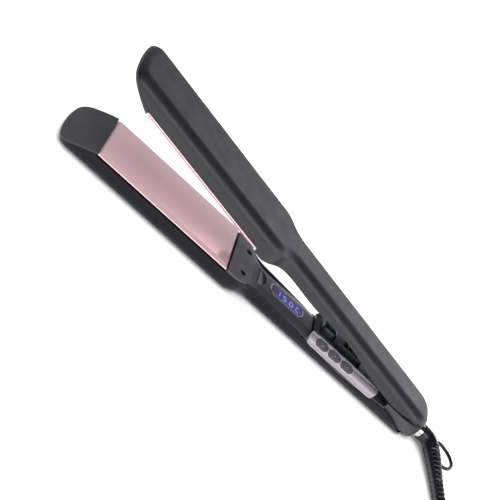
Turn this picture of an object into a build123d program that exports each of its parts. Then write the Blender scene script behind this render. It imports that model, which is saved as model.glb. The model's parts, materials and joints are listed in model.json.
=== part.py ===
from build123d import *
import os
from math import cos, pi, radians, sin, tan

# Flat iron (hair straightener) with wide floating plates, standing open on a table.
# Working frame while modelling an arm: X = 0 at the rear end of the plates, +X towards the cord,
# Z = 0 on the closure plane where the two plates meet, the arm below it, +Y away from the buttons.
# The upper arm is modelled the same way, then mirrored and swung open about the hinge pin.
# Every node is moved at the end to the part's own frame: origin under the middle of the iron on
# the table, +Z up.

# ---------- driving dimensions, mm ----------
PLATE_LENGTH = 110.0
PLATE_WIDTH = 51.0
PLATE_CHAMFER = 1.9
PLATE_THICK = 2.6
PLATE_GAP = 0.15            # each plate stops this far short of the closure plane
PLATE_BACK = -PLATE_GAP - PLATE_THICK
ARM_DEPTH = 16.4            # closure plane to the outside of either arm
EDGE_ROUND = 8.0
WALL = 2.0
FIT = 0.2                   # clearance between assembled pieces
SEAM = 0.4                  # visible gap between a shell's rim and the inner frame
DEEP = -30.0                # below everything
CLEAR = 30.0                # beyond everything, for cutting blocks

# plan of an arm
TIP_X = -138.8
TIP_SAG = 4.7
TIP_CORNER = 10.0
HEAD_HALF = 26.5
GRIP_HALF = 17.0
NECK_START = 5.0            # the outline narrows from the head to the grip between these
NECK_END = 29.0
REAR_X = 184.0
REAR_CORNER = 13.5

# side of an arm
TIP_FACE = [(-142.0, -16.6), (-124.0, -6.2), (-110.3, -0.9)]   # slightly bulging slope of the tip cap
TIP_RIM_DROP = 1.8          # the shell's rim lies this far under the tip cap's face
PLATE_RIM = 3.7             # depth of the lower shell's rim beside the plate
PANEL_START = 0.8           # neck panel of the inner frame
PANEL_END = 76.5
PANEL_ROOF = -7.2           # underside of the neck panel
DECK_END = 150.0
DECK = [(PANEL_END, -6.4), (85, -6.8), (108, -8.6), (132, -6.8), (DECK_END, -5.2)]
UPPER_DECK = -8.8           # the upper frame lies this deep over the hinge
DECK_THICK = 2.0
FRAME_BOTTOM = -11.6
FRAME_WALL = 2.0
POCKET_HALF = 20.8          # well under the plate for its carrier
POCKET_FLOOR = -10.0

# plate backing
CARRIER_HALF = 20.0
CARRIER_BOTTOM = -7.0
HEATER_LENGTH = 84.0
HEATER_HALF = 9.0
HEATER_THICK = 2.2
CUSHION = (12.0, 8.0)
CUSHION_X = (-94.0, -16.0)
CUSHION_Y = 14.0
LEAD_RADIUS = 0.8
LEAD_Y = 2.2

# neck panel
SCREW_X = 12.6
SCREW_Y = 13.4
HALF_MOON_X = 25.6
HALF_MOON_HALF = 9.5
HALF_MOON_DEEP = 6.2
DISPLAY_X = 51.5
DISPLAY_LENGTH = 31.0
DISPLAY_WIDTH = 13.4
DISPLAY_CORNER = 3.2
BEZEL_TOP = -2.9
LENS_TOP = -3.3

# electronics
BOARD_TOP = -11.8
BOARD_THICK = 1.4
BOARD_START = 33.0
BOARD_END = 146.0
BOARD_HALF = 11.0

# button strip
STRIP_START = 75.5
STRIP_END = 139.5
STRIP_INNER_Y = -9.6
STRIP_TOP = -0.6
STRIP_BEND = (-9.97, -8.09)  # centre of the strip's rounded side, y and z
STRIP_RADIUS = 7.35
STRIP_WALL = 1.1
BUTTON_X = (86.8, 98.6, 110.4)
BUTTON_NAMES = ("power_button", "minus_button", "plus_button")
BUTTON_LENGTH = 10.8
BUTTON_WIDTH = 5.6
BUTTON_Y = -14.5
BUTTON_Z = -2.3
BUTTON_TILT = 38.0          # degrees that the buttons face outwards from straight up

# hinge
HINGE_X = 123.3
OPENING = 9.78              # degrees between the arms at rest
PIN_RADIUS = 2.0
PIN_HALF = 9.2
BOSS_RADIUS = 4.4
BOSS_HALF = 5.6             # the lower arm's boss ends here on the pin
EAR_INNER = 6.2             # the upper arm's ears run from here
EAR_OUTER = 9.0
SPRING_RADIUS = 3.3
SPRING_WIRE = 0.9
SPRING_TURNS = 5
SPRING_LEG = 13.0
YOKE_TOP = -6.6
YOKE_BOTTOM = -8.6
BLOCK_FRONT = [(77.6, -8.0), (77.6, -2.4), (80.2, 0.5), (91.0, 0.5), (91.0, 3.0)]
BLOCK_TOP = 3.0             # the arms meet 6.6 above the pin when shut, so this clears
BLOCK_SCREW_X = (96.0, 113.0)
BLOCK_SCREW_HEAD = (-10.0, -10.8)  # the heads bear under the deck
YOKE_SCREW_X = (112.0, 134.0)
LEAD_DUCT = (101.5, 107.5, -4.5, 4.5)  # way through the hinge for the wires

# rear housing and cord exit
HOUSING_START = 150.3
HOUSING_END = 185.0
CORD_Z = -8.6
BARREL_RADIUS = 4.0
FLANGE_RADIUS = 4.7
COLLAR_LENGTH = 5.0
COLLAR_RADIUS = 5.2
BOOT_START = HOUSING_END + COLLAR_LENGTH
BOOT_RADIUS = 6.0
BOOT_END_RADIUS = 4.1
BOOT_PATH = [(BOOT_START, 0, CORD_Z), (197.5, 0, -8.6), (202.5, -12, -9.1), (214, -53.5, -11.6)]
RIB_COUNT = 8
RIB_PITCH = 4.2
RIB_PROUD = 0.55
LOOP_RADIUS = 1.3
LOOP_ROUTE = [(203.6, 2.0, -9.0), (210.0, 6.6, -9.0), (219.6, 2.6, -9.2), (223.6, -5.0, -9.4),
              (219.6, -13.9, -9.6), (210.2, -17.2, -9.6)]

# cord
CORD_DIAMETER = 6.0
CORD_ROUTE = [(214, -53.5, -11.6), (216.3, -61.9, -12.1), (224.2, -70.3, -12.6), (236.2, -75.0, -12.6),
              (249, -75.9, -12.6), (262, -75.4, -12.6)]
TAIL_ROUTE = [(354, -75.4, -0.6), (366, -75.1, -0.6), (377, -72.5, -2.2), (387, -67.4, -5.4),
              (396, -63.2, -8.2), (405, -60.9, -9.4)]
CORNER_SHARE = 0.45         # share of the shorter run that each corner's arc may use
HANK_START = (262.0, -75.4)
HANK_RUN = 92.0
HANK_RADIUS = 24.0          # middle of the outer turns at each fold
HANK_LAYERS = 3
HANK_BOTTOM = -15.6
TIE_WIDTH = 12.0
TIE_THICK = 0.7
PLUG_LENGTH = 34.0
PLUG_WIDTH = 35.0
PLUG_THICK = 13.7
PLUG_PIN_RADIUS = 2.0
PLUG_PIN_LENGTH = 19.0
PLUG_PIN_SPACING = 18.6

ORIGIN = Vector(-(TIP_X + BOOT_START) / 2, 0, ARM_DEPTH)

os.makedirs("parts", exist_ok=True)


# ---------- placing ----------
def lower(shape):
    return Pos(ORIGIN) * shape


def upper(shape):
    turned = Pos(HINGE_X, 0, 0) * Rot(0, OPENING, 0) * Pos(-HINGE_X, 0, 0) * mirror(shape, Plane.XY)
    return Pos(ORIGIN) * turned


def save(name, shape):
    solids = list(shape.solids())
    shape = solids[0] if len(solids) == 1 else Compound(children=solids)
    export_step(shape, f"parts/{name}.step")


# ---------- shapes shared by both arms ----------
def block(x0, x1, y0, y1, z0, z1):
    return Pos((x0 + x1) / 2, (y0 + y1) / 2, (z0 + z1) / 2) * Box(x1 - x0, y1 - y0, z1 - z0)


def post(x, y, z0, z1, radius):
    return Pos(x, y, (z0 + z1) / 2) * Cylinder(radius, z1 - z0)


def bar_x(x0, x1, y, z, radius):
    return Pos((x0 + x1) / 2, y, z) * Rot(0, 90, 0) * Cylinder(radius, x1 - x0)


def bar_y(x, y0, y1, z, radius):
    return Pos(x, (y0 + y1) / 2, z) * Rot(90, 0, 0) * Cylinder(radius, y1 - y0)


def on_both_sides(shape):
    return shape + mirror(shape, Plane.XZ)


def outline(inset=0.0):
    """Plan of an arm, narrowed all round by inset."""
    head = HEAD_HALF - inset
    grip = GRIP_HALF - inset
    tip = TIP_X + inset
    rear = REAR_X - inset
    middle = ((NECK_START + NECK_END) / 2, (head + grip) / 2)
    with BuildSketch() as plan:
        with BuildLine():
            Line((tip + TIP_SAG, head), (NECK_START, head))
            TangentArc((NECK_START, head), middle, tangent=(1, 0))
            TangentArc((NECK_END, grip), middle, tangent=(-1, 0))
            Polyline((NECK_END, grip), (rear, grip), (rear, -grip), (NECK_END, -grip))
            TangentArc((NECK_END, -grip), (middle[0], -middle[1]), tangent=(-1, 0))
            TangentArc((NECK_START, -head), (middle[0], -middle[1]), tangent=(1, 0))
            Line((tip + TIP_SAG, -head), (NECK_START, -head))
            ThreePointArc((tip + TIP_SAG, -head), (tip, 0), (tip + TIP_SAG, head))
        make_face()
        fillet(plan.vertices().sort_by(Axis.X)[0:2], TIP_CORNER - inset)
        fillet(plan.vertices().sort_by(Axis.X)[-2:], REAR_CORNER - inset)
    return plan.sketch


def arm_body(inset=0.0):
    """Solid arm under the closure plane with its outer edge rounded."""
    body = extrude(outline(inset), -(ARM_DEPTH - inset))
    return fillet(body.edges().group_by(Axis.Z)[0], EDGE_ROUND - inset)


def below(*runs):
    """Everything across the arm under a side profile. A run is a line through two points, or a
    smooth curve through more."""
    first = runs[0][0]
    last = runs[-1][-1]
    with BuildSketch(Plane.XZ) as side:
        with BuildLine():
            for run in runs:
                if len(run) == 2:
                    Line(*run)
                else:
                    Spline(*run)
            Polyline(last, (last[0], DEEP), (first[0], DEEP), first)
        make_face()
    return extrude(side.sketch, CLEAR, both=True)


def lowered(run, drop):
    return [(x, z - drop) for x, z in run]


def tube(points, radius):
    """Round tube along straight runs joined by the largest arcs that the runs allow."""
    points = [Vector(p) for p in points]
    radii = []
    for before, corner, after in zip(points, points[1:], points[2:]):
        turn = radians((corner - before).get_angle(after - corner))
        shorter = min((corner - before).length, (after - corner).length)
        radii.append(CORNER_SHARE * shorter / tan(turn / 2))
    path = FilletPolyline(*points, radius=radii) if radii else Line(*points)
    start = Plane(path @ 0, z_dir=path % 0)
    return sweep(start * Circle(radius), path), path.length, radii


# ---------- shells and tip caps ----------
def tip_rim():
    return lowered(TIP_FACE, TIP_RIM_DROP)


def lower_rim():
    """Everything under the lower shell's rim, which waves down past the buttons and closes in a leaf
    shaped end."""
    step = tip_rim()[-1]
    edge = (step[0], -PLATE_RIM)
    wave = [(12, -PLATE_RIM), (40, -4.6), (85, -8.2), (109, -10.1), (132, -8.2), (149, -6.3), (162, -8.6),
            (178, -17.5)]
    return below(tip_rim(), [step, edge], [edge, wave[0]], wave)


def upper_rim():
    """Everything inside the upper shell's rim, which stands up to the plates at the neck and runs on
    to the shell's rounded rear end."""
    step = tip_rim()[-1]
    edge = (step[0], -PLATE_RIM)
    corner = (PANEL_START, -PLATE_RIM)
    wave = [(8, -0.6), (21, -3.5), (30, -4.6), (60, -4.9), (89, -7.8), (120, -5.9), (146, -4.8), (168, -9.4)]
    collar = (PANEL_START, wave[0][1])
    return below(tip_rim(), [step, edge], [edge, corner], [corner, collar], [collar, wave[0]], wave,
                 [wave[-1], (REAR_X + 5, wave[-1][1])])


def shell(rim):
    """Half of an arm's casing, with a boss inside for each of the frame's two screws."""
    skin = (arm_body() - arm_body(WALL)) & rim
    for side in (-1, 1):
        skin += post(SCREW_X, side * SCREW_Y, WALL - ARM_DEPTH - 0.5, PANEL_ROOF - FIT, 3.2)
        skin -= post(SCREW_X, side * SCREW_Y, -13.0, PANEL_ROOF, 1.05)
    return skin


def tip_cap():
    """Sloped cap over the tip, flush with the shell, with a plug that reaches inside."""
    joint = TIP_FACE[-1][0] - FIT
    face = below(TIP_FACE)
    lid = (arm_body() & face) - below(lowered(TIP_FACE, TIP_RIM_DROP - FIT))
    plug = (arm_body(WALL + FIT) & below(lowered(TIP_FACE, 1.0))) - below(lowered(TIP_FACE, 5.5))
    before = TIP_X - 10
    lid &= block(before, joint, -CLEAR, CLEAR, DEEP, 0)
    plug &= block(before, joint - 2, -CLEAR, CLEAR, DEEP, 0)
    return lid + plug


# ---------- inner frame ----------
def panel_space():
    """Everything above the neck panel: a narrow crown with a crease along it, and sides that slope
    down to the shell's rim. Each row is a place along the arm, the crown's depth in the middle, the
    crease's distance and depth, and the depth and distance of a point on the sloping side."""
    rows = ((PANEL_START, 0.9, 23.5, 1.05, 1.2, 26.5), (12.0, 2.2, 20.5, 2.3, 2.2, 25.0),
            (20.0, 3.0, 13.0, 3.2, 4.0, 19.5), (26.0, 3.1, 9.2, 3.4, 5.4, 17.0),
            (32.0, 3.1, 8.3, 3.5, 6.0, 17.0), (62.0, 3.1, 8.2, 3.5, 6.6, 17.0),
            (PANEL_END, 3.5, 8.2, 3.9, 7.2, 17.0))
    reach = 27.0
    sections = []
    for x, crown, crease, crease_deep, side_deep, side in rows:
        slope = (side_deep - crease_deep) / (side - crease)
        rim = crease_deep + slope * (reach - crease)
        with BuildSketch(Plane.YZ.offset(x)) as section:
            with BuildLine():
                ThreePointArc((-crease, -crease_deep), (0, -crown), (crease, -crease_deep))
                Polyline((crease, -crease_deep), (reach, -rim), (reach, 12), (-reach, 12), (-reach, -rim),
                         (-crease, -crease_deep))
            make_face()
        sections.append(section.sketch)
    return loft(sections, ruled=True)


def inner_frame(rim, deck):
    """Frame inside an arm: a well for the plate's carrier, the visible neck panel and the deck."""
    raised = arm_body(SEAM) - Pos(0, 0, SEAM) * rim
    start = TIP_FACE[-1][0] + FIT
    frame = (raised + arm_body(WALL + FIT)) & block(start, DECK_END, -CLEAR, CLEAR, FRAME_BOTTOM, 0)
    beside_plate = block(-CLEAR * 5, PANEL_START, -CLEAR, CLEAR, -PLATE_RIM - FIT, 1)
    frame -= beside_plate
    frame -= panel_space()
    frame -= block(PANEL_END, DECK_END + 1, -CLEAR, CLEAR, -12, 1) - below(deck)
    well = block(-106.0, -3.5, -POCKET_HALF, POCKET_HALF, POCKET_FLOOR, 1)
    inside = extrude(outline(WALL + FIT + FRAME_WALL), DEEP)
    neck_room = inside & block(2.0, PANEL_END + 0.1, -CLEAR, CLEAR, DEEP, PANEL_ROOF)
    behind_panel = block(PANEL_END, DECK_END + 1, -CLEAR, CLEAR, DEEP, 0)
    deck_room = inside & below(lowered(deck, DECK_THICK)) & behind_panel
    frame = frame - well - neck_room - deck_room
    frame -= block(-4.0, 3.0, -4.5, 4.5, POCKET_FLOOR, -PLATE_RIM - FIT)
    for side in (-1, 1):
        frame -= post(SCREW_X, side * SCREW_Y, -4.4, 0, 2.5)
        frame -= post(SCREW_X, side * SCREW_Y, PANEL_ROOF - 1, -3, 1.45)
        frame -= post(SCREW_X, side * SCREW_Y, FRAME_BOTTOM - 1, PANEL_ROOF, 3.5)
    return frame


def half_moon():
    """Finger dent that starts at a straight edge and is deepest at its curved end."""
    with BuildSketch() as moon:
        with BuildLine():
            ThreePointArc((0, -HALF_MOON_HALF), (HALF_MOON_DEEP, 0), (0, HALF_MOON_HALF))
            Line((0, HALF_MOON_HALF), (0, -HALF_MOON_HALF))
        make_face()
    return Pos(HALF_MOON_X, 0, -3.4) * Rot(0, 12, 0) * extrude(moon.sketch, 6)


def half_moon_lip():
    """Low ridge along the dent's straight edge."""
    lip = block(HALF_MOON_X - 0.9, HALF_MOON_X, -HALF_MOON_HALF + 0.6, HALF_MOON_HALF - 0.6, -4.0, -2.5)
    return chamfer(lip.edges().group_by(Axis.Z)[-1].filter_by(Axis.Y).sort_by(Axis.X)[0], 0.4)


def window(shrink, z0, z1):
    """Plate with the display's outline: a rectangle with cut corners."""
    shape = Rectangle(DISPLAY_LENGTH - 2 * shrink, DISPLAY_WIDTH - 2 * shrink)
    shape = chamfer(shape.vertices(), DISPLAY_CORNER - 0.586 * shrink)
    return Pos(DISPLAY_X, 0, z0) * extrude(shape, z1 - z0)


def lower_inner_frame():
    frame = inner_frame(lower_rim(), DECK) - half_moon() + half_moon_lip()
    frame -= window(-0.15, -5.2, 1)
    frame -= block(DISPLAY_X - 12.6, DISPLAY_X + 12.6, -4.6, 4.6, -9, -4)
    frame -= strip_plan(-FIT) & block(0, REAR_X, -CLEAR, CLEAR, -7.7, 1)
    frame -= block(80.0, 117.0, -15.3, STRIP_INNER_Y - 0.2, -9.4, 1)
    for x in BLOCK_SCREW_X:
        frame -= post(x, 0, -12, 0, 1.3)
    frame -= block(*LEAD_DUCT, -12, 1)
    return frame


def upper_inner_frame():
    deck = [(PANEL_END, UPPER_DECK), (DECK_END, UPPER_DECK)]
    frame = inner_frame(upper_rim(), deck) - half_moon() + half_moon_lip()
    frame -= block(*LEAD_DUCT, -12, 1)
    for x in YOKE_SCREW_X:
        frame -= post(x, 0, -12, 0, 1.05)
    return frame


def frame_screws():
    """Two cheese head screws with a cross recess, sunk in the neck panel."""
    screws = []
    for side in (-1, 1):
        screw = post(SCREW_X, side * SCREW_Y, -4.35, -3.3, 2.2)
        screw += post(SCREW_X, side * SCREW_Y, -12.0, -4.35, 1.0)
        for turn in (45, 135):
            screw -= Pos(SCREW_X, side * SCREW_Y, -3.3) * Rot(0, 0, turn) * Box(2.6, 0.6, 1.0)
        screws.append(screw)
    return screws[0] + screws[1]


# ---------- plates and what backs them ----------
def plate():
    body = block(-PLATE_LENGTH, 0, -PLATE_WIDTH / 2, PLATE_WIDTH / 2, PLATE_BACK, -PLATE_GAP)
    return chamfer(body.edges().group_by(Axis.Z)[-1], PLATE_CHAMFER)


def plate_carrier():
    """Tray clipped under the plate that holds the heater against it."""
    tray = block(-105.0, -4.5, -CARRIER_HALF, CARRIER_HALF, CARRIER_BOTTOM, PLATE_BACK)
    tray -= block(-103.0, -6.5, -CARRIER_HALF + 2, CARRIER_HALF - 2, CARRIER_BOTTOM + 1.2, 0)
    tray -= block(-8.0, 0.0, -4.5, 4.5, CARRIER_BOTTOM + 1.2, 0)
    return tray


def heater():
    half = HEATER_LENGTH / 2
    return block(-PLATE_LENGTH / 2 - half, -PLATE_LENGTH / 2 + half, -HEATER_HALF, HEATER_HALF,
                 PLATE_BACK - HEATER_THICK, PLATE_BACK)


def insulation_sheet():
    top = PLATE_BACK - HEATER_THICK
    return block(-102.0, -7.5, -CARRIER_HALF + 3, CARRIER_HALF - 3, top - 0.5, top)


def plate_cushions():
    """Four soft pads that the carrier sinks on."""
    pads = None
    for x in CUSHION_X:
        for side in (-1, 1):
            y = side * CUSHION_Y
            pad = block(x - CUSHION[0] / 2, x + CUSHION[0] / 2, y - CUSHION[1] / 2, y + CUSHION[1] / 2,
                        POCKET_FLOOR, CARRIER_BOTTOM)
            pads = pad if pads is None else pads + pad
    return pads


def temperature_sensor():
    return bar_x(-53.0, -47.0, 12.5, PLATE_BACK - 1.05, 1.05)


def thermal_fuse():
    return bar_x(-79.0, -70.0, 12.5, PLATE_BACK - 1.0, 1.0)


def plate_leads(bend_x, last_x, last_z):
    """Pair of wires from the heater's end, through the frame's wall and along under the panel."""
    z = PLATE_BACK - HEATER_THICK / 2
    wires = []
    for side in (-1, 1):
        y = side * LEAD_Y
        route = [(-12.9, y, z), (-4.5, y, z - 0.3), (1.0, y, -7.6), (8.0, y, -9.2), (bend_x, y, -9.6),
                 (bend_x + 12, y, last_z), (last_x, y, last_z - 0.05)]
        wires.append(tube(route, LEAD_RADIUS)[0])
    return wires[0] + wires[1]


# ---------- display and electronics ----------
def display_bezel():
    ring = window(0, -5.0, BEZEL_TOP) - window(1.5, -6, 0)
    return chamfer(ring.edges().group_by(Axis.Z)[-1], 0.3)


def display_lens():
    return window(1.6, -4.8, LENS_TOP)


def display_module():
    return block(DISPLAY_X - 12, DISPLAY_X + 12, -4.2, 4.2, BOARD_TOP, -5.0)


def control_board():
    board = block(BOARD_START, BOARD_END, -BOARD_HALF, BOARD_HALF, BOARD_TOP - BOARD_THICK, BOARD_TOP)
    for x in (BOARD_START + 4, BOARD_END - 4):
        board -= post(x, BOARD_HALF - 3, BOARD_TOP - 3, BOARD_TOP + 1, 1.2)
    return board


def board_components():
    """Power switch, capacitor, resistor bank and controller chip that stand on the board."""
    parts = block(127.0, 135.0, -9.5, -5.0, BOARD_TOP, BOARD_TOP + 1.6)
    parts += bar_x(121.0, 131.0, 5.0, BOARD_TOP + 0.8, 0.8)
    parts += block(72.0, 80.0, -4.0, 4.0, BOARD_TOP, BOARD_TOP + 1.3)
    for x in (84.0, 88.0, 92.0):
        parts += block(x, x + 2.5, 4.0, 7.5, BOARD_TOP, BOARD_TOP + 0.8)
    return parts


def on_button(x):
    """Place on the strip's rounded side, its local Z pointing out through the button."""
    return Pos(x, BUTTON_Y, BUTTON_Z) * Rot(BUTTON_TILT, 0, 0)


def button_board():
    return on_button(BUTTON_X[1]) * block(-16.0, 16.0, -2.6, 0.4, -5.1, -4.3)


def tact_switches():
    """A small click switch behind each button."""
    switches = None
    for x in BUTTON_X:
        switch = on_button(x) * (block(-2.2, 2.2, -2.2, 0.9, -4.3, -3.0) + post(0, -0.4, -3.1, -2.75, 0.9))
        switches = switch if switches is None else switches + switch
    return switches


def button(x):
    """Crowned key with a stem that presses its switch."""
    key = extrude(SlotOverall(BUTTON_LENGTH, BUTTON_WIDTH), 1.7)
    key = fillet(key.edges().group_by(Axis.Z)[-1], 0.6)
    return on_button(x) * (Pos(0, 0, -1.4) * key + post(0, 0, -2.2, -1.3, 1.3))


def strip_section(shrink):
    """Cross section of the button strip: flat top edge and rounded side."""
    cy, cz = STRIP_BEND
    radius = STRIP_RADIUS - shrink
    foot = (cy - radius * cos(radians(4.5)), cz + radius * sin(radians(4.5)))
    shoulder = (cy - radius * sin(radians(17)), cz + radius * cos(radians(17)))
    middle = (cy - radius * cos(radians(38)), cz + radius * sin(radians(38)))
    inner = STRIP_INNER_Y - shrink
    top = STRIP_TOP - shrink
    with BuildSketch(Plane.YZ.offset(STRIP_START - 1)) as section:
        with BuildLine():
            ThreePointArc(foot, middle, shoulder)
            Polyline(shoulder, (shoulder[0] + 0.3, top), (inner, top), (inner, foot[1]), foot)
        make_face()
    return extrude(section.sketch, STRIP_END - STRIP_START + 2)


def strip_plan(shrink):
    """Pill shaped plan of the button strip."""
    x0, x1 = STRIP_START + shrink, STRIP_END - shrink
    y0, y1 = -17.6 + shrink, STRIP_INNER_Y - shrink
    shape = Pos((x0 + x1) / 2, (y0 + y1) / 2) * RectangleRounded(x1 - x0, y1 - y0, (y1 - y0) / 2 - 0.05)
    return extrude(shape, -12)


def button_trim():
    trim = (strip_section(0) & strip_plan(0)) - (strip_section(STRIP_WALL) & strip_plan(STRIP_WALL))
    for x in BUTTON_X:
        hole = extrude(SlotOverall(BUTTON_LENGTH + 2 * FIT, BUTTON_WIDTH + 2 * FIT), 6)
        trim -= on_button(x) * Pos(0, 0, -3) * hole
    trim -= Pos(0, 0, 0.3) * lower_rim()
    groove = STRIP_INNER_Y - 1.1
    trim -= block(STRIP_START + 6, STRIP_END - 5, groove - 0.15, groove + 0.15, STRIP_TOP - 0.35, 0)
    return trim


# ---------- hinge ----------
def hinge_block():
    """Block on the lower deck: a sloped front facet, a rounded lug and a solid web that shields the
    wires and carries the boss for the pin."""
    with BuildSketch(Plane.XZ) as front:
        with BuildLine():
            Polyline(*BLOCK_FRONT, (94.0, BLOCK_TOP), (94.0, -8.0), BLOCK_FRONT[0])
        make_face()
    with BuildSketch(Plane.XZ) as web:
        with BuildLine():
            Polyline((93.0, -8.0), (93.0, BLOCK_TOP), (HINGE_X + 3.2, BLOCK_TOP), (132.0, -6.0),
                     (132.0, -8.0), (93.0, -8.0))
        make_face()
        with Locations((HINGE_X, 0)):
            Circle(BOSS_RADIUS)
    nose = extrude(front.sketch, CLEAR, both=True) & block(77, 94, STRIP_INNER_Y + 0.4, 14.4, -8, 0.5)
    nose = chamfer(nose.edges().filter_by(Axis.Y).group_by(Axis.Z)[-1].sort_by(Axis.X)[-1], 0.5)
    lug = extrude(Pos(87.0, 2.0) * RectangleRounded(12.0, 14.0, 3.5), 8.3)
    lug = Pos(0, 0, -3.0) * fillet(lug.edges().group_by(Axis.Z)[-1], 3.0)
    body = nose + lug + extrude(web.sketch, BOSS_HALF, both=True)
    body -= bar_y(HINGE_X, -BOSS_HALF - 1, BOSS_HALF + 1, 0, PIN_RADIUS + 0.02)
    body -= block(HINGE_X - 5.2, HINGE_X + 8, -3.1, 3.1, -4.4, 6)
    body -= block(LEAD_DUCT[1], HINGE_X - 3, -3.1, 3.1, -4.4, 6)
    body -= block(*LEAD_DUCT, -12, 6)
    body -= Pos(0, 0, FIT) * below(DECK)
    for x in BLOCK_SCREW_X:
        body -= post(x, 0, -12, -4.4, 1.05)
    return body


def hinge_pin():
    pin = bar_y(HINGE_X, -PIN_HALF, PIN_HALF, 0, PIN_RADIUS)
    return chamfer(pin.edges().filter_by(GeomType.CIRCLE), 0.4)


def hinge_washers():
    washer = bar_y(HINGE_X, BOSS_HALF + 0.05, EAR_INNER - 0.05, 0, 3.8)
    washer -= bar_y(HINGE_X, BOSS_HALF - 1, EAR_INNER + 1, 0, PIN_RADIUS + 0.1)
    return on_both_sides(washer)


def opening_spring():
    """Torsion spring round the pin, one leg on the lower block, one under the upper arm's yoke."""
    width = SPRING_TURNS * (SPRING_WIRE + 0.15)
    coil = Helix(SPRING_WIRE + 0.15, width, SPRING_RADIUS)
    wire = sweep(Plane(coil @ 0, z_dir=coil % 0) * Circle(SPRING_WIRE / 2), coil, is_frenet=True)
    wire = Pos(HINGE_X, width / 2, 0) * Rot(90, 0, 0) * wire
    leg = Pos(-SPRING_LEG / 2, 0, 0) * Rot(0, 90, 0) * Cylinder(SPRING_WIRE / 2, SPRING_LEG)
    low = Pos(HINGE_X, width / 2 - 0.2, -SPRING_RADIUS) * leg
    high = Pos(HINGE_X, -width / 2 + 0.2, 0) * Rot(0, 12, 0) * Pos(0, 0, SPRING_RADIUS) * leg
    return wire + low + high


def block_screws():
    screws = None
    for x, head in zip(BLOCK_SCREW_X, BLOCK_SCREW_HEAD):
        screw = post(x, 0, head - 1.0, head, 1.9) + post(x, 0, head, -6.4, 1.0)
        screws = screw if screws is None else screws + screw
    return screws


def upper_hinge_yoke():
    """Plate screwed to the upper frame with two ears that turn on the pin."""
    plate_part = block(100.0, 145.0, -EAR_OUTER, EAR_OUTER, YOKE_BOTTOM, YOKE_TOP)
    plate_part -= block(100.8, 108.2, -5.2, 5.2, -12, 0)
    with BuildSketch(Plane.XZ) as side:
        with BuildLine():
            Polyline((113.0, YOKE_TOP), (HINGE_X - 4.1, 1.4), (HINGE_X + 4.1, 1.4), (134.0, YOKE_TOP),
                     (113.0, YOKE_TOP))
        make_face()
        with Locations((HINGE_X, 0)):
            Circle(BOSS_RADIUS)
    ears = extrude(side.sketch, EAR_OUTER, both=True)
    ears -= block(80, 150, -EAR_INNER, EAR_INNER, YOKE_TOP - 1, 20)
    ears -= block(80, 150, -CLEAR, CLEAR, YOKE_TOP - 5, YOKE_TOP - 0.5)
    yoke = plate_part + ears
    yoke -= bar_y(HINGE_X, -EAR_OUTER - 1, EAR_OUTER + 1, 0, PIN_RADIUS + 0.9)
    for x in YOKE_SCREW_X:
        yoke -= post(x, 0, -12, 0, 1.3)
    return yoke


def hinge_bushes():
    bush = bar_y(HINGE_X, EAR_INNER, EAR_OUTER, 0, PIN_RADIUS + 0.88)
    bush -= bar_y(HINGE_X, EAR_INNER - 1, EAR_OUTER + 1, 0, PIN_RADIUS + 0.05)
    return on_both_sides(bush)


def yoke_screws():
    screws = None
    for x in YOKE_SCREW_X:
        screw = post(x, 0, YOKE_TOP, YOKE_TOP + 1.1, 2.0) + post(x, 0, -11.5, YOKE_TOP, 1.0)
        screws = screw if screws is None else screws + screw
    return screws


def crossing_leads():
    """Pair of wires with a spare bend that cross from the lower arm to the upper at the hinge."""
    wires = []
    for side in (-1, 1):
        y = side * LEAD_Y
        route = [(104.5, y, -11.0), (104.5, y, -4.0), (106.0, y + 1.0, 1.2), (103.5, y + 1.0, 6.0),
                 (104.0, y, 12.0)]
        wires.append(tube(route, LEAD_RADIUS)[0])
    return wires[0] + wires[1]


# ---------- rear housing and cord exit ----------
def rear_housing():
    """Tapering end piece on the lower arm that carries the cord."""
    with BuildSketch() as plan:
        with BuildLine():
            Polyline((HOUSING_START, -14.5), (166.0, -14.5), (183.0, -10.5), (HOUSING_END, -7.2),
                     (HOUSING_END, 7.2), (183.0, 10.5), (166.0, 14.5), (HOUSING_START, 14.5),
                     (HOUSING_START, -14.5))
        make_face()
        fillet(plan.vertices().group_by(Axis.X)[1:3], 6.0)
    body = extrude(plan.sketch, -15.6)
    body &= below([(HOUSING_START - 1, -2.0), (HOUSING_END + 1, -3.4)])
    body = fillet(body.edges().group_by(Axis.Z)[0], 4.5)
    inside_shell = arm_body(WALL + FIT) & block(HOUSING_START - 1, 175.4, -CLEAR, CLEAR, DEEP, 0)
    body &= inside_shell + block(175.4, HOUSING_END + 1, -CLEAR, CLEAR, DEEP, 0)
    body -= bar_x(160.0, HOUSING_END + 1, 0, CORD_Z, BARREL_RADIUS + 0.15)
    body -= block(HOUSING_START - 1, 176.4, -8.0, 8.0, -12.6, -4.6)
    body -= bar_x(173.6, 176.4, 0, CORD_Z, FLANGE_RADIUS + FIT)
    return body


def cord_collar():
    ring = bar_x(HOUSING_END, BOOT_START, 0, CORD_Z, COLLAR_RADIUS)
    ring -= bar_x(HOUSING_END - 1, BOOT_START + 1, 0, CORD_Z, BARREL_RADIUS + 0.15)
    return chamfer(ring.edges().filter_by(GeomType.CIRCLE).group_by(Axis.X)[-1], 0.3)


def mains_leads():
    """Cord's two cores from the barrel to the board."""
    cores = []
    for side in (-1, 1):
        route = [(173.6, side * 1.4, CORD_Z), (165.0, side * 2.5, CORD_Z - 0.2), (156.0, side * 4.5, -10.0),
                 (147.0, side * 5.5, -10.6), (140.0, side * 5.5, -10.8)]
        cores.append(tube(route, 0.9)[0])
    return cores[0] + cores[1]


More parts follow.
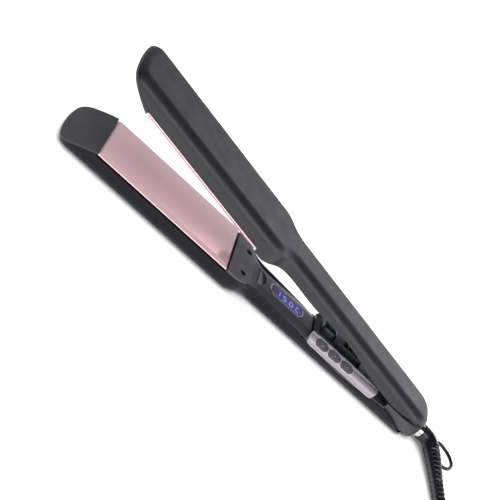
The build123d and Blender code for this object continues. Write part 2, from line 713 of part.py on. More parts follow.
def strain_relief():
    """Tapered boot on the cord, with a barrel and flange held in the housing."""
    path = FilletPolyline(*BOOT_PATH, radius=[7.0, 26.0])
    first = Plane(path @ 0, z_dir=path % 0) * Circle(BOOT_RADIUS)
    last = Plane(path @ 1, z_dir=path % 1) * Circle(BOOT_END_RADIUS)
    boot = sweep([first, last], path=path, multisection=True)
    barrel = bar_x(176.6, BOOT_START, 0, CORD_Z, BARREL_RADIUS)
    flange = bar_x(173.8, 176.3, 0, CORD_Z, FLANGE_RADIUS)
    ribs = None
    for step in range(RIB_COUNT):
        from_end = 3 + step * RIB_PITCH
        place = path.position_at(path.length - from_end, position_mode=PositionMode.LENGTH)
        along = path.tangent_at(path.length - from_end, position_mode=PositionMode.LENGTH)
        taper = (BOOT_RADIUS - BOOT_END_RADIUS) * from_end / path.length
        rib = Plane(place, z_dir=along) * Pos(0, 0, -0.9) * Cylinder(BOOT_END_RADIUS + taper + RIB_PROUD, 1.8)
        ribs = rib if ribs is None else ribs + rib
    body = boot + barrel + flange + bar_x(176.0, 177.0, 0, CORD_Z, BARREL_RADIUS) + ribs
    print("boot length", round(path.length, 1))
    return body


def hanging_loop():
    return tube(LOOP_ROUTE, LOOP_RADIUS)[0]


# ---------- cord ----------
def cord():
    run, run_length, run_radii = tube(CORD_ROUTE, CORD_DIAMETER / 2)
    tail, tail_length, tail_radii = tube(TAIL_ROUTE, CORD_DIAMETER / 2)
    section = pi * (CORD_DIAMETER / 2) ** 2
    print("cord volume over section", round((run.volume + tail.volume) / section, 2))
    print("cord length", round(run_length + tail_length, 2))
    print("cord radii", [round(r, 1) for r in run_radii + tail_radii])
    return Compound(children=[run, tail])


def hank_outline(radius):
    """Racetrack with a fold of this radius at each end."""
    centre = (HANK_START[0] + HANK_RUN / 2, HANK_START[1] + HANK_RADIUS)
    return Pos(*centre) * SlotCenterToCenter(HANK_RUN, 2 * radius)


def cord_hank():
    half = CORD_DIAMETER / 2
    ring = hank_outline(HANK_RADIUS + half) - hank_outline(HANK_RADIUS - 3 * half)
    body = Pos(0, 0, HANK_BOTTOM) * extrude(ring, HANK_LAYERS * CORD_DIAMETER)
    return body


def cord_tie():
    """Strap round the hank's waist."""
    x = HANK_START[0] + HANK_RUN / 2
    y = HANK_START[1] + HANK_RADIUS
    half = HANK_RADIUS + CORD_DIAMETER / 2 + 0.1
    low = HANK_BOTTOM - 0.05
    high = HANK_BOTTOM + HANK_LAYERS * CORD_DIAMETER + 0.1
    inner = block(x - TIE_WIDTH, x + TIE_WIDTH, y - half, y + half, low, high)
    out = half + TIE_THICK
    outer = block(x - TIE_WIDTH / 2, x + TIE_WIDTH / 2, y - out, y + out, low - TIE_THICK, high + TIE_THICK)
    return fillet(outer.edges().filter_by(Axis.X), TIE_THICK) - inner


def plug_body():
    """Moulded two-pin plug with a short tapering neck."""
    x, y, z = TAIL_ROUTE[-1]
    neck = 6.0
    length = PLUG_LENGTH - neck
    body = extrude(Pos(x + neck + length / 2, y) * RectangleRounded(length, PLUG_WIDTH, 9.0), PLUG_THICK)
    rims = body.edges().group_by(Axis.Z)[0] + body.edges().group_by(Axis.Z)[-1]
    body = Pos(0, 0, z - PLUG_THICK / 2) * fillet(rims, 3.0)
    return body + Pos(x + 5, y, z) * Rot(0, 90, 0) * Cone(4.2, 6.2, 10)


def plug_pins():
    x, y, z = TAIL_ROUTE[-1]
    start = x + PLUG_LENGTH
    pins = []
    for side in (-1, 1):
        pin = bar_x(start, start + PLUG_PIN_LENGTH, y + side * PLUG_PIN_SPACING / 2, z, PLUG_PIN_RADIUS)
        pins.append(fillet(pin.edges().group_by(Axis.X)[-1], 1.2))
    return pins[0] + pins[1]


# ---------- write every node ----------
LOWER_NODES = {
    "lower_shell": lambda: shell(lower_rim()),
    "lower_inner_frame": lower_inner_frame,
    "lower_tip_cap": tip_cap,
    "lower_plate": plate,
    "lower_plate_carrier": plate_carrier,
    "lower_heater": heater,
    "lower_insulation_sheet": insulation_sheet,
    "lower_plate_cushions": plate_cushions,
    "lower_frame_screws": frame_screws,
    "lower_heater_leads": lambda: plate_leads(18.0, 38.0, -10.8),
    "temperature_sensor": temperature_sensor,
    "thermal_fuse": thermal_fuse,
    "display_bezel": display_bezel,
    "display_lens": display_lens,
    "display_module": display_module,
    "control_board": control_board,
    "board_components": board_components,
    "button_board": button_board,
    "tact_switches": tact_switches,
    "button_trim": button_trim,
    "hinge_block": hinge_block,
    "hinge_block_screws": block_screws,
    "hinge_pin": hinge_pin,
    "hinge_washers": hinge_washers,
    "opening_spring": opening_spring,
    "crossing_leads": crossing_leads,
    "rear_housing": rear_housing,
    "cord_collar": cord_collar,
    "mains_leads": mains_leads,
    "strain_relief": strain_relief,
    "hanging_loop": hanging_loop,
    "cord": cord,
    "cord_hank": cord_hank,
    "cord_tie": cord_tie,
    "plug_body": plug_body,
    "plug_pins": plug_pins,
}
UPPER_NODES = {
    "upper_shell": lambda: shell(upper_rim()),
    "upper_inner_frame": upper_inner_frame,
    "upper_tip_cap": tip_cap,
    "upper_plate": plate,
    "upper_plate_carrier": plate_carrier,
    "upper_heater": heater,
    "upper_insulation_sheet": insulation_sheet,
    "upper_plate_cushions": plate_cushions,
    "upper_frame_screws": frame_screws,
    "upper_heater_leads": lambda: plate_leads(56.0, 100.0, -12.4),
    "upper_hinge_yoke": upper_hinge_yoke,
    "yoke_screws": yoke_screws,
    "hinge_bushes": hinge_bushes,
}

for name, make in LOWER_NODES.items():
    save(name, lower(make()))
for name, x in zip(BUTTON_NAMES, BUTTON_X):
    save(name, lower(button(x)))
for name, make in UPPER_NODES.items():
    save(name, upper(make()))
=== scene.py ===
import json
from math import cos, pi, radians, sin

import bmesh
import bpy
from mathutils import Matrix, Vector


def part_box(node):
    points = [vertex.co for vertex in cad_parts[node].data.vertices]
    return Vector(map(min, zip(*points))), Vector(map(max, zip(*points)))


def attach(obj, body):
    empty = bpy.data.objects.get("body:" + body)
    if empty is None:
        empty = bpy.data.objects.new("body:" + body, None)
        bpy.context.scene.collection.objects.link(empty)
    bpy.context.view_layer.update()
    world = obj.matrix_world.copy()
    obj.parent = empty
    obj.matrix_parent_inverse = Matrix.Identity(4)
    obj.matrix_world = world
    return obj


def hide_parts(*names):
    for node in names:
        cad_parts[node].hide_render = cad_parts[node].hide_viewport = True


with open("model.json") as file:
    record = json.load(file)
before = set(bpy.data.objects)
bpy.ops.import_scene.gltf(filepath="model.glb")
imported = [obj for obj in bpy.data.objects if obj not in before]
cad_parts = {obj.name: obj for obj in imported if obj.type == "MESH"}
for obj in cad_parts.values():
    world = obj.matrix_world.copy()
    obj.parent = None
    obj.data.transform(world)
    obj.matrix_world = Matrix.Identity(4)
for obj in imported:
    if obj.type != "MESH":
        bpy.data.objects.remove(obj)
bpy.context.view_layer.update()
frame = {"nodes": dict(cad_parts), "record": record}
NODES = frame["nodes"]

# The iron is laid out in millimetres in the arm's own frame, as in part.py: x from the rear end of
# the plates towards the cord, z from the plane where the plates meet.
MM = 0.001
ARM_ORIGIN = Vector((-0.0256, 0.0, 0.0164))

CORD_DIAMETER = 0.006


def at(x, y, z):
    """A place in the arm's frame, in mm, as metres in the row's frame."""
    return ARM_ORIGIN + MM * Vector((x, y, z))


# ---------- camera ----------
SENSOR_WIDTH = 36.0
LENS = 83.2
CAMERA_PLACE = (-0.2063, -0.6531, 0.3670)
CAMERA_FORWARD = (0.24738, 0.85712, -0.45183)
CAMERA_ROLL = radians(49.8)


def make_camera():
    data = bpy.data.cameras.new("camera")
    data.sensor_width = SENSOR_WIDTH
    data.lens = LENS
    camera = bpy.data.objects.new("camera", data)
    bpy.context.collection.objects.link(camera)
    level = Vector(CAMERA_FORWARD).to_track_quat("-Z", "Y").to_matrix().to_4x4()
    turn = level @ Matrix.Rotation(CAMERA_ROLL, 4, "Z")
    camera.matrix_world = Matrix.Translation(CAMERA_PLACE) @ turn
    bpy.context.scene.camera = camera


# ---------- cord ----------
CORD_ROUTE = [(214, -53.5, -11.6), (216.3, -61.9, -12.1), (224.2, -70.3, -12.6), (236.2, -75.0, -12.6),
              (249, -75.9, -12.6)]
TAIL_ROUTE = [(354, -75.4, -0.6), (366, -75.1, -0.6), (377, -72.5, -2.2), (387, -67.4, -5.4),
              (396, -63.2, -8.2), (405, -60.9, -9.4)]
HANK_X = (262.0, 354.0)
HANK_Y = -51.4
HANK_LOW = -12.6            # middle of the lowest turns
LAYER = 6.0
# radius at the folds and layer of each turn, from the first to the last
HANK_TURNS = [(24, 0), (18.6, 0), (18.6, 1), (24, 1), (18.6, 2), (24, 2)]
LATE_TURN = 4               # moves to its place along its first run, not in the fold before it
FOLD_STEPS = 5
RUN_STEPS = 3
CORNER_OUT = 1 / 0.952      # control points of a round fold stand this much further out


def ease(t):
    return t * t * (3 - 2 * t)


def hank_points():
    """Racetrack turns as spline points, each turn moving over to the next one's place in its left fold."""
    points = []
    left, right = HANK_X
    for turn, (radius, layer) in enumerate(HANK_TURNS[:-1]):
        z = HANK_LOW + LAYER * layer
        before = HANK_TURNS[turn - 1] if turn == LATE_TURN else (radius, layer)
        for step in range(RUN_STEPS):
            share = (step + 0.5) / RUN_STEPS
            settle = ease(min(1.0, 2 * share))
            y = before[0] + (radius - before[0]) * settle
            rise = HANK_LOW + LAYER * (before[1] + (layer - before[1]) * settle)
            points.append((left + share * (right - left), HANK_Y - y, rise))
        for step in range(FOLD_STEPS):
            angle = radians(-90 + 180 * (step + 0.5) / FOLD_STEPS)
            out = radius * CORNER_OUT
            points.append((right + out * cos(angle), HANK_Y + out * sin(angle), z))
        for step in range(RUN_STEPS):
            share = (step + 0.5) / RUN_STEPS
            points.append((right - share * (right - left), HANK_Y + radius, z))
        after = HANK_TURNS[turn + 1] if turn + 1 != LATE_TURN else (radius, layer)
        for step in range(FOLD_STEPS):
            share = (step + 0.5) / FOLD_STEPS
            angle = radians(90 + 180 * share)
            out = (radius + (after[0] - radius) * ease(share)) * CORNER_OUT
            rise = HANK_LOW + LAYER * (layer + (after[1] - layer) * ease(share))
            points.append((left + out * cos(angle), HANK_Y + out * sin(angle), rise))
    last_radius, last_layer = HANK_TURNS[-1]
    for step in range(RUN_STEPS - 1):
        share = (step + 0.5) / RUN_STEPS
        points.append((left + share * (right - left), HANK_Y - last_radius, HANK_LOW + LAYER * last_layer))
    return points


def spline_curve(name, points, radius, resolution=8):
    curve = bpy.data.curves.new(name, "CURVE")
    curve.dimensions = "3D"
    curve.bevel_depth = radius
    curve.bevel_resolution = 5
    curve.use_fill_caps = True
    spline = curve.splines.new("NURBS")
    spline.points.add(len(points) - 1)
    for point, place in zip(spline.points, points):
        point.co = (*at(*place), 1.0)
    spline.order_u = 3
    spline.use_endpoint_u = True
    spline.resolution_u = resolution
    piece = bpy.data.objects.new(name, curve)
    bpy.context.collection.objects.link(piece)
    return piece


def line_of(points):
    """Points along the smooth spline through a route, in metres."""
    probe = spline_curve("probe", points, 0.0, 12)
    mesh = bpy.data.meshes.new_from_object(probe)
    line = [v.co.copy() for v in mesh.vertices]
    bpy.data.meshes.remove(mesh)
    bpy.data.objects.remove(probe)
    return line


def make_cord():
    return spline_curve("mains_cord", CORD_ROUTE + hank_points() + TAIL_ROUTE, CORD_DIAMETER / 2)


# ---------- material maker ----------
class Surface:
    """A procedural material being put together. Textures are placed in metres on the object."""

    def __init__(self, name, color, roughness, metallic=0.0, **sockets):
        self.material = bpy.data.materials.new(name)
        self.material.use_nodes = True
        self.tree = self.material.node_tree
        self.shader = self.tree.nodes["Principled BSDF"]
        self.shader.inputs["Base Color"].default_value = (*color, 1.0)
        self.shader.inputs["Roughness"].default_value = roughness
        self.shader.inputs["Metallic"].default_value = metallic
        for socket, value in sockets.items():
            self.shader.inputs[socket.replace("_", " ")].default_value = value
        self.place = self.node("ShaderNodeTexCoord").outputs["Object"]
        self.normal = None

    def node(self, kind, **values):
        node = self.tree.nodes.new(kind)
        for name, value in values.items():
            setattr(node, name, value)
        return node

    def link(self, source, target):
        self.tree.links.new(source, target)

    def noise(self, size, detail=3.0, stretch=(1.0, 1.0, 1.0)):
        """Grey noise whose blotches are about this size in metres, drawn out along an axis by stretch."""
        mapping = self.node("ShaderNodeMapping")
        mapping.inputs["Scale"].default_value = [1 / s for s in stretch]
        self.link(self.place, mapping.inputs["Vector"])
        texture = self.node("ShaderNodeTexNoise")
        texture.inputs["Scale"].default_value = 1 / size
        texture.inputs["Detail"].default_value = detail
        self.link(mapping.outputs["Vector"], texture.inputs["Vector"])
        return texture.outputs["Fac"]

    def waves(self, size, axis, distortion=0.0):
        texture = self.node("ShaderNodeTexWave", bands_direction=axis)
        texture.inputs["Scale"].default_value = 1 / size
        texture.inputs["Distortion"].default_value = distortion
        self.link(self.place, texture.inputs["Vector"])
        return texture.outputs["Fac"]

    def spread(self, source, low, high, start=0.0, end=1.0):
        """Source's range from start to end, laid over low to high."""
        node = self.node("ShaderNodeMapRange")
        node.inputs["From Min"].default_value = start
        node.inputs["From Max"].default_value = end
        node.inputs["To Min"].default_value = low
        node.inputs["To Max"].default_value = high
        self.link(source, node.inputs["Value"])
        return node.outputs["Result"]

    def mix(self, share, other):
        """Moves the colour towards another by this share."""
        node = self.node("ShaderNodeMix", data_type="RGBA")
        base = self.shader.inputs["Base Color"]
        if base.links:
            self.link(base.links[0].from_socket, node.inputs[6])
        else:
            node.inputs[6].default_value = base.default_value
        node.inputs[7].default_value = (*other, 1.0)
        self.link(share, node.inputs[0])
        self.link(node.outputs[2], base)

    def polish(self, source, low, high):
        self.link(self.spread(source, low, high, 0.3, 0.7), self.shader.inputs["Roughness"])

    def rounded(self, radius):
        """Softens the look of sharp edges by this radius in metres."""
        bevel = self.node("ShaderNodeBevel", samples=6)
        bevel.inputs["Radius"].default_value = radius
        self.normal = bevel.outputs["Normal"]
        self.link(self.normal, self.shader.inputs["Normal"])

    def worn_and_highlit_edges(self, radius, other, amount=0.6):
        """Shifts the colour along outer edges: partly wear where handling rubs them, partly a painted
        highlight along the edges.
        """
        bevel = self.node("ShaderNodeBevel", samples=6)
        bevel.inputs["Radius"].default_value = radius
        face = self.node("ShaderNodeNewGeometry")
        dot = self.node("ShaderNodeVectorMath", operation="DOT_PRODUCT")
        self.link(bevel.outputs["Normal"], dot.inputs[0])
        self.link(face.outputs["Normal"], dot.inputs[1])
        self.mix(self.spread(dot.outputs["Value"], amount, 0.0, 0.8, 0.98), other)

    def bump(self, source, height):
        """Raises the surface by this height in metres where source is 1."""
        node = self.node("ShaderNodeBump")
        node.inputs["Distance"].default_value = height
        self.link(source, node.inputs["Height"])
        if self.normal:
            self.link(self.normal, node.inputs["Normal"])
        self.normal = node.outputs["Normal"]
        self.link(self.normal, self.shader.inputs["Normal"])


def moulded(name, color, roughness, grain=0.00035, height=0.00002, edge=0.0003, rubbed_and_highlit=None, **sockets):
    """Moulded plastic: fine spark-eroded grain, uneven gloss and paler edges, partly handling wear and partly
    a painted highlight.
    """
    made = Surface(name, color, roughness, **sockets)
    made.rounded(edge)
    made.mix(made.spread(made.noise(0.03), 0.0, 0.5, 0.35, 0.7), [c * 1.25 for c in color])
    made.polish(made.noise(0.012, 5.0), roughness - 0.05, roughness + 0.06)
    # paler edges: partly handling wear, partly a painted highlight along the edges
    made.worn_and_highlit_edges(edge, rubbed_and_highlit or [min(1.0, c * 1.9 + 0.02) for c in color])
    made.bump(made.noise(grain, 2.0), height)
    return made.material


def metal(name, color, roughness, stretch=(1.0, 1.0, 1.0), height=0.000004, edge=0.0002, **sockets):
    """Metal with fine working marks drawn out along one axis."""
    made = Surface(name, color, roughness, metallic=1.0, **sockets)
    made.rounded(edge)
    made.mix(made.spread(made.noise(0.008), 0.0, 0.4, 0.35, 0.7), [c * 0.8 for c in color])
    made.polish(made.noise(0.0012, 4.0, stretch), max(0.02, roughness - 0.06), roughness + 0.08)
    made.bump(made.noise(0.0004, 2.0, stretch), height)
    return made.material


def plate_coating(name):
    """Rose ceramic coating over a ground plate: near mirror, with a faint lengthwise grind and haze."""
    made = Surface(name, (0.80, 0.56, 0.57), 0.16, metallic=0.6, Coat_Weight=0.25, Coat_Roughness=0.08)
    made.rounded(0.0002)
    made.mix(made.spread(made.noise(0.05, 2.0), 0.0, 0.35, 0.35, 0.7), (0.85, 0.63, 0.64))
    made.polish(made.noise(0.006, 5.0, (6.0, 1.0, 1.0)), 0.12, 0.22)
    # paler rose along the plate's edges: partly wear, partly a painted highlight
    made.worn_and_highlit_edges(0.0004, (0.93, 0.78, 0.77), 0.5)
    made.bump(made.noise(0.0005, 2.0, (12.0, 1.0, 1.0)), 0.0000015)
    return made.material


def metallic_paint(name, color, roughness):
    """Satin paint with fine metal flake over moulded plastic."""
    made = Surface(name, color, roughness, metallic=0.35)
    made.rounded(0.0003)
    made.mix(made.spread(made.noise(0.00025, 1.0), 0.0, 0.5, 0.5, 0.7), [min(1.0, c * 1.35) for c in color])
    made.polish(made.noise(0.006, 4.0), roughness - 0.04, roughness + 0.06)
    # near-white edges on the trim: a painted highlight, partly edge wear
    made.worn_and_highlit_edges(0.0006, [min(1.0, c * 4.5) for c in color])
    made.bump(made.noise(0.0003, 2.0), 0.000006)
    return made.material


def rubber(name, color, roughness, height=0.00003, **sockets):
    made = Surface(name, color, roughness, **sockets)
    made.rounded(0.0003)
    made.mix(made.spread(made.noise(0.01), 0.0, 0.6, 0.35, 0.7), [c * 1.6 + 0.004 for c in color])
    made.polish(made.noise(0.004, 5.0), roughness - 0.06, roughness + 0.08)
    made.bump(made.noise(0.0006, 3.0), height)
    return made.material


def woven(name, color):
    """Narrow webbing: crossing threads half a millimetre wide."""
    made = Surface(name, color, 0.85, Sheen_Weight=0.4)
    weft = made.waves(0.0028, "Y")
    warp = made.waves(0.0028, "X")
    made.mix(made.spread(weft, 0.0, 0.5), [c * 2.2 + 0.01 for c in color])
    made.bump(weft, 0.00012)
    made.bump(warp, 0.00012)
    return made.material


def lit_window(name, start, length):
    """Smoked window with the blue-violet glow of the display behind it, fading towards the tip."""
    made = Surface(name, (0.006, 0.005, 0.018), 0.08, Specular_IOR_Level=0.15)
    axes = made.node("ShaderNodeSeparateXYZ")
    made.link(made.place, axes.inputs["Vector"])
    along = made.spread(axes.outputs["X"], 0.0, 1.0, start, start + length)
    ramp = made.node("ShaderNodeValToRGB")
    ramp.color_ramp.elements[0].color = (0.035, 0.012, 0.01, 1)
    ramp.color_ramp.elements[1].position = 0.32
    ramp.color_ramp.elements[1].color = (0.03, 0.028, 0.16, 1)
    last = ramp.color_ramp.elements.new(1.0)
    last.color = (0.045, 0.03, 0.17, 1)
    made.link(along, ramp.inputs["Fac"])
    made.link(ramp.outputs["Color"], made.shader.inputs["Emission Color"])
    made.link(made.spread(made.noise(0.004), 0.7, 1.2, 0.3, 0.7), made.shader.inputs["Emission Strength"])
    made.bump(made.noise(0.003), 0.000002)
    return made.material


def glowing(name, color, strength):
    made = Surface(name, (0.01, 0.01, 0.05), 0.4)
    made.shader.inputs["Emission Color"].default_value = (*color, 1)
    made.link(made.spread(made.noise(0.0012), strength * 0.8, strength * 1.15, 0.3, 0.7),
              made.shader.inputs["Emission Strength"])
    return made.material


def circuit_board(name):
    """Green solder mask over a pattern of copper tracks."""
    made = Surface(name, (0.01, 0.10, 0.045), 0.35, Coat_Weight=0.4, Coat_Roughness=0.15)
    tracks = made.node("ShaderNodeTexVoronoi", distance="MANHATTAN", feature="DISTANCE_TO_EDGE")
    tracks.inputs["Scale"].default_value = 320.0
    made.link(made.place, tracks.inputs["Vector"])
    made.mix(made.spread(tracks.outputs["Distance"], 0.7, 0.0, 0.05, 0.12), (0.03, 0.2, 0.09))
    made.polish(made.noise(0.005), 0.28, 0.42)
    made.bump(made.noise(0.0008), 0.00001)
    return made.material


def make_materials():
    lens_low, lens_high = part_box("display_lens")
    return {
        "casing_upper": moulded("casing_upper", (0.006, 0.006, 0.008), 0.40),
        "casing_lower": moulded("casing_lower", (0.003, 0.003, 0.006), 0.33, Specular_IOR_Level=0.2),
        "cap": moulded("cap", (0.027, 0.028, 0.032), 0.42, Specular_IOR_Level=0.4),
        # the frame's pale grey edge line is a painted highlight, partly edge wear
        "frame": moulded("frame", (0.034, 0.033, 0.042), 0.42, rubbed_and_highlit=(0.30, 0.30, 0.33)),
        "plate": plate_coating("plate"),
        "carrier": moulded("carrier", (0.008, 0.008, 0.008), 0.5),
        "heater": metal("heater", (0.60, 0.60, 0.58), 0.35, (10.0, 1.0, 1.0)),
        "mica": moulded("mica", (0.48, 0.40, 0.24), 0.45, grain=0.001, height=0.00005),
        "cushion": rubber("cushion", (0.35, 0.06, 0.04), 0.5),
        "screw": metal("screw", (0.03, 0.03, 0.035), 0.35),
        "lead": rubber("lead", (0.030, 0.029, 0.030), 0.45),
        "sensor": moulded("sensor", (0.35, 0.18, 0.06), 0.15, Transmission_Weight=0.4),
        "fuse": metal("fuse", (0.65, 0.65, 0.66), 0.25),
        "bezel": metal("bezel", (0.30, 0.30, 0.33), 0.20),
        "lens": lit_window("lens", lens_low.x, lens_high.x - lens_low.x),
        "display": glowing("display", (0.24, 0.33, 0.92), 1.0),
        "board": circuit_board("board"),
        "components": moulded("components", (0.02, 0.02, 0.022), 0.35),
        "trim": metallic_paint("trim", (0.27, 0.24, 0.27), 0.30),
        "button": moulded("button", (0.050, 0.045, 0.050), 0.36),
        "hinge": moulded("hinge", (0.012, 0.015, 0.023), 0.30, Specular_IOR_Level=0.35),
        "steel": metal("steel", (0.06, 0.06, 0.065), 0.30),
        "bush": moulded("bush", (0.006, 0.006, 0.007), 0.35),
        "housing": moulded("housing", (0.030, 0.029, 0.032), 0.36),
        "collar": metal("collar", (0.80, 0.79, 0.78), 0.12, (1.0, 8.0, 8.0)),
        "boot": rubber("boot", (0.003, 0.003, 0.006), 0.23, 0.00001, Specular_IOR_Level=0.55),
        "cord": rubber("cord", (0.006, 0.006, 0.008), 0.42),
        "tie": woven("tie", (0.02, 0.02, 0.024)),
        "plug": moulded("plug", (0.010, 0.010, 0.012), 0.4),
        "plug_pin": metal("plug_pin", (0.72, 0.70, 0.64), 0.2),
    }


def dress(materials):
    """Gives every CAD node its slot's material."""
    for part in frame["record"]["subparts"]:
        mesh = NODES[part["node"]].data
        mesh.materials.clear()
        mesh.materials.append(materials[part["material_slot"]])


# ---------- pieces made here ----------
def add_mesh(name, body, slot, materials, build, smooth=True):
    shape = bmesh.new()
    build(shape)
    bmesh.ops.recalc_face_normals(shape, faces=shape.faces)
    mesh = bpy.data.meshes.new(name)
    shape.to_mesh(mesh)
    shape.free()
    for face in mesh.polygons:
        face.use_smooth = smooth
    mesh.materials.append(materials[slot])
    piece = bpy.data.objects.new(name, mesh)
    bpy.context.collection.objects.link(piece)
    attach(piece, body)
    return piece


BOOT_ROUTE = [(190, 0, -8.6), (194, 0, -8.6), (199.0, -2.4, -8.7), (202.8, -11.5, -9.1), (206.5, -26.5, -9.9),
              (210.2, -40, -10.8), (214, -53.5, -11.6)]
BOOT_RADIUS = 6.0
BOOT_END_RADIUS = 4.1
BOOT_SMOOTH = 0.24          # share of the boot's length before the first slot
SLOT_PITCH = 3.6
SLOT_DEEP = 2.6
SPINE_TURN = radians(9)     # where the first spine runs, from straight sideways
SLOT_HALF = 0.30            # share of the pitch
SLOT_RAMP = 0.08
SPINE_EDGE = 0.84
SPINE_RAMP = 0.08
RIB_PROUD = 0.35
BOOT_SIDES = 48
BOOT_STEP = 0.00028         # metres between rings
BARREL_MIDDLE = (183.5, 0, -8.6)
BARREL_RADIUS = 4.0
BARREL_LENGTH = 14


def boot_radius(share, along, angle):
    """Radius of the boot, in mm: a taper with slots cut round it, except along two spines."""
    radius = BOOT_RADIUS + (BOOT_END_RADIUS - BOOT_RADIUS) * ease(min(1.0, share * 1.1))
    if share < BOOT_SMOOTH or share > 0.97:
        return radius
    phase = along / SLOT_PITCH % 1.0
    slot = ease(min(1.0, max(0.0, (SLOT_HALF - abs(phase - 0.5)) / SLOT_RAMP)))
    spine = ease(min(1.0, max(0.0, (abs(cos(angle - SPINE_TURN)) - SPINE_EDGE) / SPINE_RAMP)))
    return radius + RIB_PROUD - SLOT_DEEP * slot * (1 - spine)


def sweep_rings(shape, line, radius_at, sides):
    """Skins a tube round a line of places in metres; radius_at gives mm for a share, length and angle."""
    lengths = [0.0]
    for a, b in zip(line, line[1:]):
        lengths.append(lengths[-1] + (b - a).length)
    rings = []
    for index, place in enumerate(line):
        before = line[max(0, index - 1)]
        after = line[min(len(line) - 1, index + 1)]
        forward = (after - before).normalized()
        side = forward.cross(Vector((0, 0, 1))).normalized()
        up = side.cross(forward)
        ring = []
        for step in range(sides):
            angle = 2 * pi * step / sides
            radius = MM * radius_at(lengths[index] / lengths[-1], lengths[index] / MM, angle)
            ring.append(shape.verts.new(place + radius * (cos(angle) * side + sin(angle) * up)))
        rings.append(ring)
    for near, far in zip(rings, rings[1:]):
        for step in range(sides):
            follow = (step + 1) % sides
            shape.faces.new((near[step], near[follow], far[follow], far[step]))
    shape.faces.new(rings[0][::-1])
    shape.faces.new(rings[-1])


def evenly(line, step):
    """The same line with places this far apart, in metres."""
    places = [line[0]]
    left = step
    for a, b in zip(line, line[1:]):
        span = (b - a).length
        while span > left:
            a = a + (b - a) * (left / span)
            span -= left
            places.append(a.copy())
            left = step
        left -= span
    if (places[-1] - line[-1]).length > step * 0.3:
        places.append(line[-1])
    return places


def make_boot(materials):
    line = evenly(line_of(BOOT_ROUTE), BOOT_STEP)
    barrel = Matrix.Translation(at(*BARREL_MIDDLE)) @ Matrix.Rotation(pi / 2, 4, "Y")

    def build(shape):
        sweep_rings(shape, line, boot_radius, BOOT_SIDES)
        bmesh.ops.create_cone(shape, cap_ends=True, segments=32, radius1=BARREL_RADIUS * MM,
                              radius2=BARREL_RADIUS * MM, depth=BARREL_LENGTH * MM, matrix=barrel)

    boot = add_mesh("cord_boot", "lower_arm", "boot", materials, build)
    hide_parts("strain_relief")
    return boot


# a seven-segment digit: which bars are lit, from the top round to the middle
SEGMENTS = {"1": "bc", "5": "acdfg", "0": "abcdef", "C": "adef"}
DIGITS = (("1", 43.7), ("5", 49.7), ("0", 55.7), ("C", 61.7))
DIGIT_HALF_WIDTH = 1.35
DIGIT_HALF_HEIGHT = 2.5
BAR_HALF = 0.38
BAR_GAP = 0.25
DIGIT_LEAN = 0.10


def make_digits(materials):
    """Lit temperature readout lying on the window, its top away from the buttons."""
    w, h = DIGIT_HALF_WIDTH, DIGIT_HALF_HEIGHT
    bars = {"a": (0, h, w, 0), "g": (0, 0, w, 0), "d": (0, -h, w, 0), "f": (-w, h / 2, 0, h / 2),
            "b": (w, h / 2, 0, h / 2), "e": (-w, -h / 2, 0, h / 2), "c": (w, -h / 2, 0, h / 2)}
    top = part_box("display_lens")[1].z + 0.00003

    def build(shape):
        for digit, x in DIGITS:
            for bar in SEGMENTS[digit]:
                bx, by, half_x, half_y = bars[bar]
                lean = DIGIT_LEAN * by
                size = (max(BAR_HALF, half_x - BAR_GAP), max(BAR_HALF, half_y - BAR_GAP))
                centre = at(x + bx + lean, by, 0)
                centre.z = top
                scale = Matrix.Diagonal((2 * size[0] * MM, 2 * size[1] * MM, 0.00005, 1))
                bmesh.ops.create_cube(shape, size=1.0, matrix=Matrix.Translation(centre) @ scale)

    return add_mesh("display_digits", "lower_arm", "display", materials, build, smooth=False)


# where the crowns of the three keys are
KEY_X = {"power": 86.8, "minus": 98.6, "plus": 110.4}
KEY_Y = -14.5
KEY_Z = -2.3
KEY_TILT = radians(38)


def button_frame(x):
    """Where a key's crown is, with its local z pointing out."""
    return Matrix.Translation(at(x, KEY_Y, KEY_Z)) @ Matrix.Rotation(KEY_TILT, 4, "X")


def make_icons(materials):
    """A small raised mark on each key: power ring, minus and plus."""
    lift = 0.33 * MM
    bar = (1.9 * MM, 0.34 * MM, 0.12 * MM, 1)

    def cube(shape, x, turn=0.0, place=(0, 0), size=bar):
        spot = Matrix.Translation((place[0] * MM, place[1] * MM, lift))
        matrix = button_frame(x) @ spot @ Matrix.Rotation(turn, 4, "Z") @ Matrix.Diagonal(size)
        bmesh.ops.create_cube(shape, size=1.0, matrix=matrix)

    def power(shape):
        steps = 14
        for step in range(steps):
            angle = radians(125) + radians(290) * step / (steps - 1)
            cube(shape, KEY_X["power"], angle + pi / 2, (1.0 * cos(angle), 1.0 * sin(angle)),
                 (0.42 * MM, 0.28 * MM, 0.12 * MM, 1))
        cube(shape, KEY_X["power"], pi / 2, (0, 0.8), (0.95 * MM, 0.28 * MM, 0.12 * MM, 1))

    def minus(shape):
        cube(shape, KEY_X["minus"])

    def plus(shape):
        cube(shape, KEY_X["plus"])
        cube(shape, KEY_X["plus"], pi / 2)

    for name, build in (("power", power), ("minus", minus), ("plus", plus)):
        add_mesh(f"{name}_mark", f"{name}_button", "collar", materials, build, smooth=False)


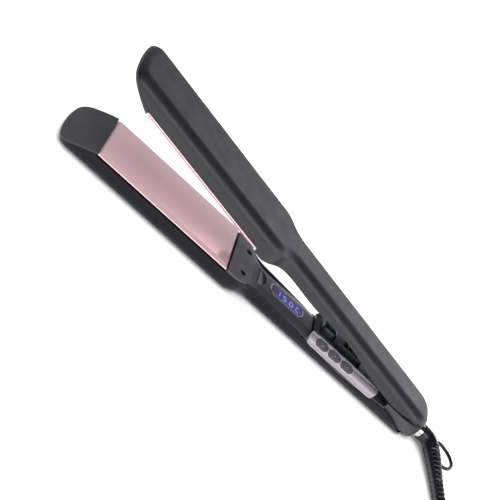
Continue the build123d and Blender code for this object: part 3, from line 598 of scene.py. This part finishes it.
# ---------- studio ----------
def make_world():
    """Pale studio walls, brighter past the cord's end, under a dark ceiling."""
    world = bpy.data.worlds.new("studio")
    bpy.context.scene.world = world
    world.use_nodes = True
    nodes, links = world.node_tree.nodes, world.node_tree.links
    sky = nodes["Background"]
    place = nodes.new("ShaderNodeTexCoord")
    axes = nodes.new("ShaderNodeSeparateXYZ")
    links.new(place.outputs["Generated"], axes.inputs["Vector"])
    ramp = nodes.new("ShaderNodeValToRGB")
    stops = ramp.color_ramp.elements
    stops[0].position, stops[0].color = 0.0, (0.9, 0.9, 0.97, 1)
    stops[1].position, stops[1].color = 0.46, (0.72, 0.72, 0.80, 1)
    dark = stops.new(0.68)
    dark.color = (0.02, 0.021, 0.022, 1)
    links.new(axes.outputs["Z"], ramp.inputs["Fac"])
    links.new(ramp.outputs["Color"], sky.inputs["Color"])
    side = nodes.new("ShaderNodeMapRange")
    side.inputs["From Min"].default_value = 0.1
    side.inputs["From Max"].default_value = 0.6
    side.inputs["To Min"].default_value = 0.42
    side.inputs["To Max"].default_value = 2.0
    links.new(axes.outputs["X"], side.inputs["Value"])
    links.new(side.outputs["Result"], sky.inputs["Strength"])


def area_light(name, place, aim, size, power, glossy=True):
    data = bpy.data.lights.new(name, "AREA")
    data.shape = "RECTANGLE"
    data.size, data.size_y = size
    data.energy = power
    lamp = bpy.data.objects.new(name, data)
    bpy.context.collection.objects.link(lamp)
    lamp.location = place
    lamp.rotation_euler = (Vector(aim) - Vector(place)).to_track_quat("-Z", "Y").to_euler()
    lamp.visible_glossy = glossy


def make_studio():
    bpy.context.scene.view_settings.view_transform = "Standard"
    make_world()
    area_light("overhead", (0.0, 0.0, 1.6), (0.05, 0.0, 0.0), (3.0, 3.0), 85.0, glossy=False)
    area_light("near_side", (0.35, -1.2, 0.70), (0.0, 0.0, 0.03), (2.4, 0.6), 11.0)
    mesh = bpy.data.meshes.new("floor")
    floor = bpy.data.objects.new("floor", mesh)
    bpy.context.collection.objects.link(floor)
    shape = bmesh.new()
    bmesh.ops.create_grid(shape, x_segments=2, y_segments=2, size=6.0)
    shape.to_mesh(mesh)
    shape.free()
    made = Surface("floor", (0.86, 0.86, 0.87), 0.9)
    made.mix(made.spread(made.noise(0.5), 0.0, 0.3, 0.3, 0.7), (0.9, 0.9, 0.9))
    mesh.materials.append(made.material)


# ---------- the making ----------
make_camera()
cord = make_cord()
materials = make_materials()
dress(materials)
cord.data.materials.append(materials["cord"])
boot = make_boot(materials)
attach(cord, "lower_arm")
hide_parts("cord", "cord_hank")
make_digits(materials)
make_icons(materials)
make_studio()
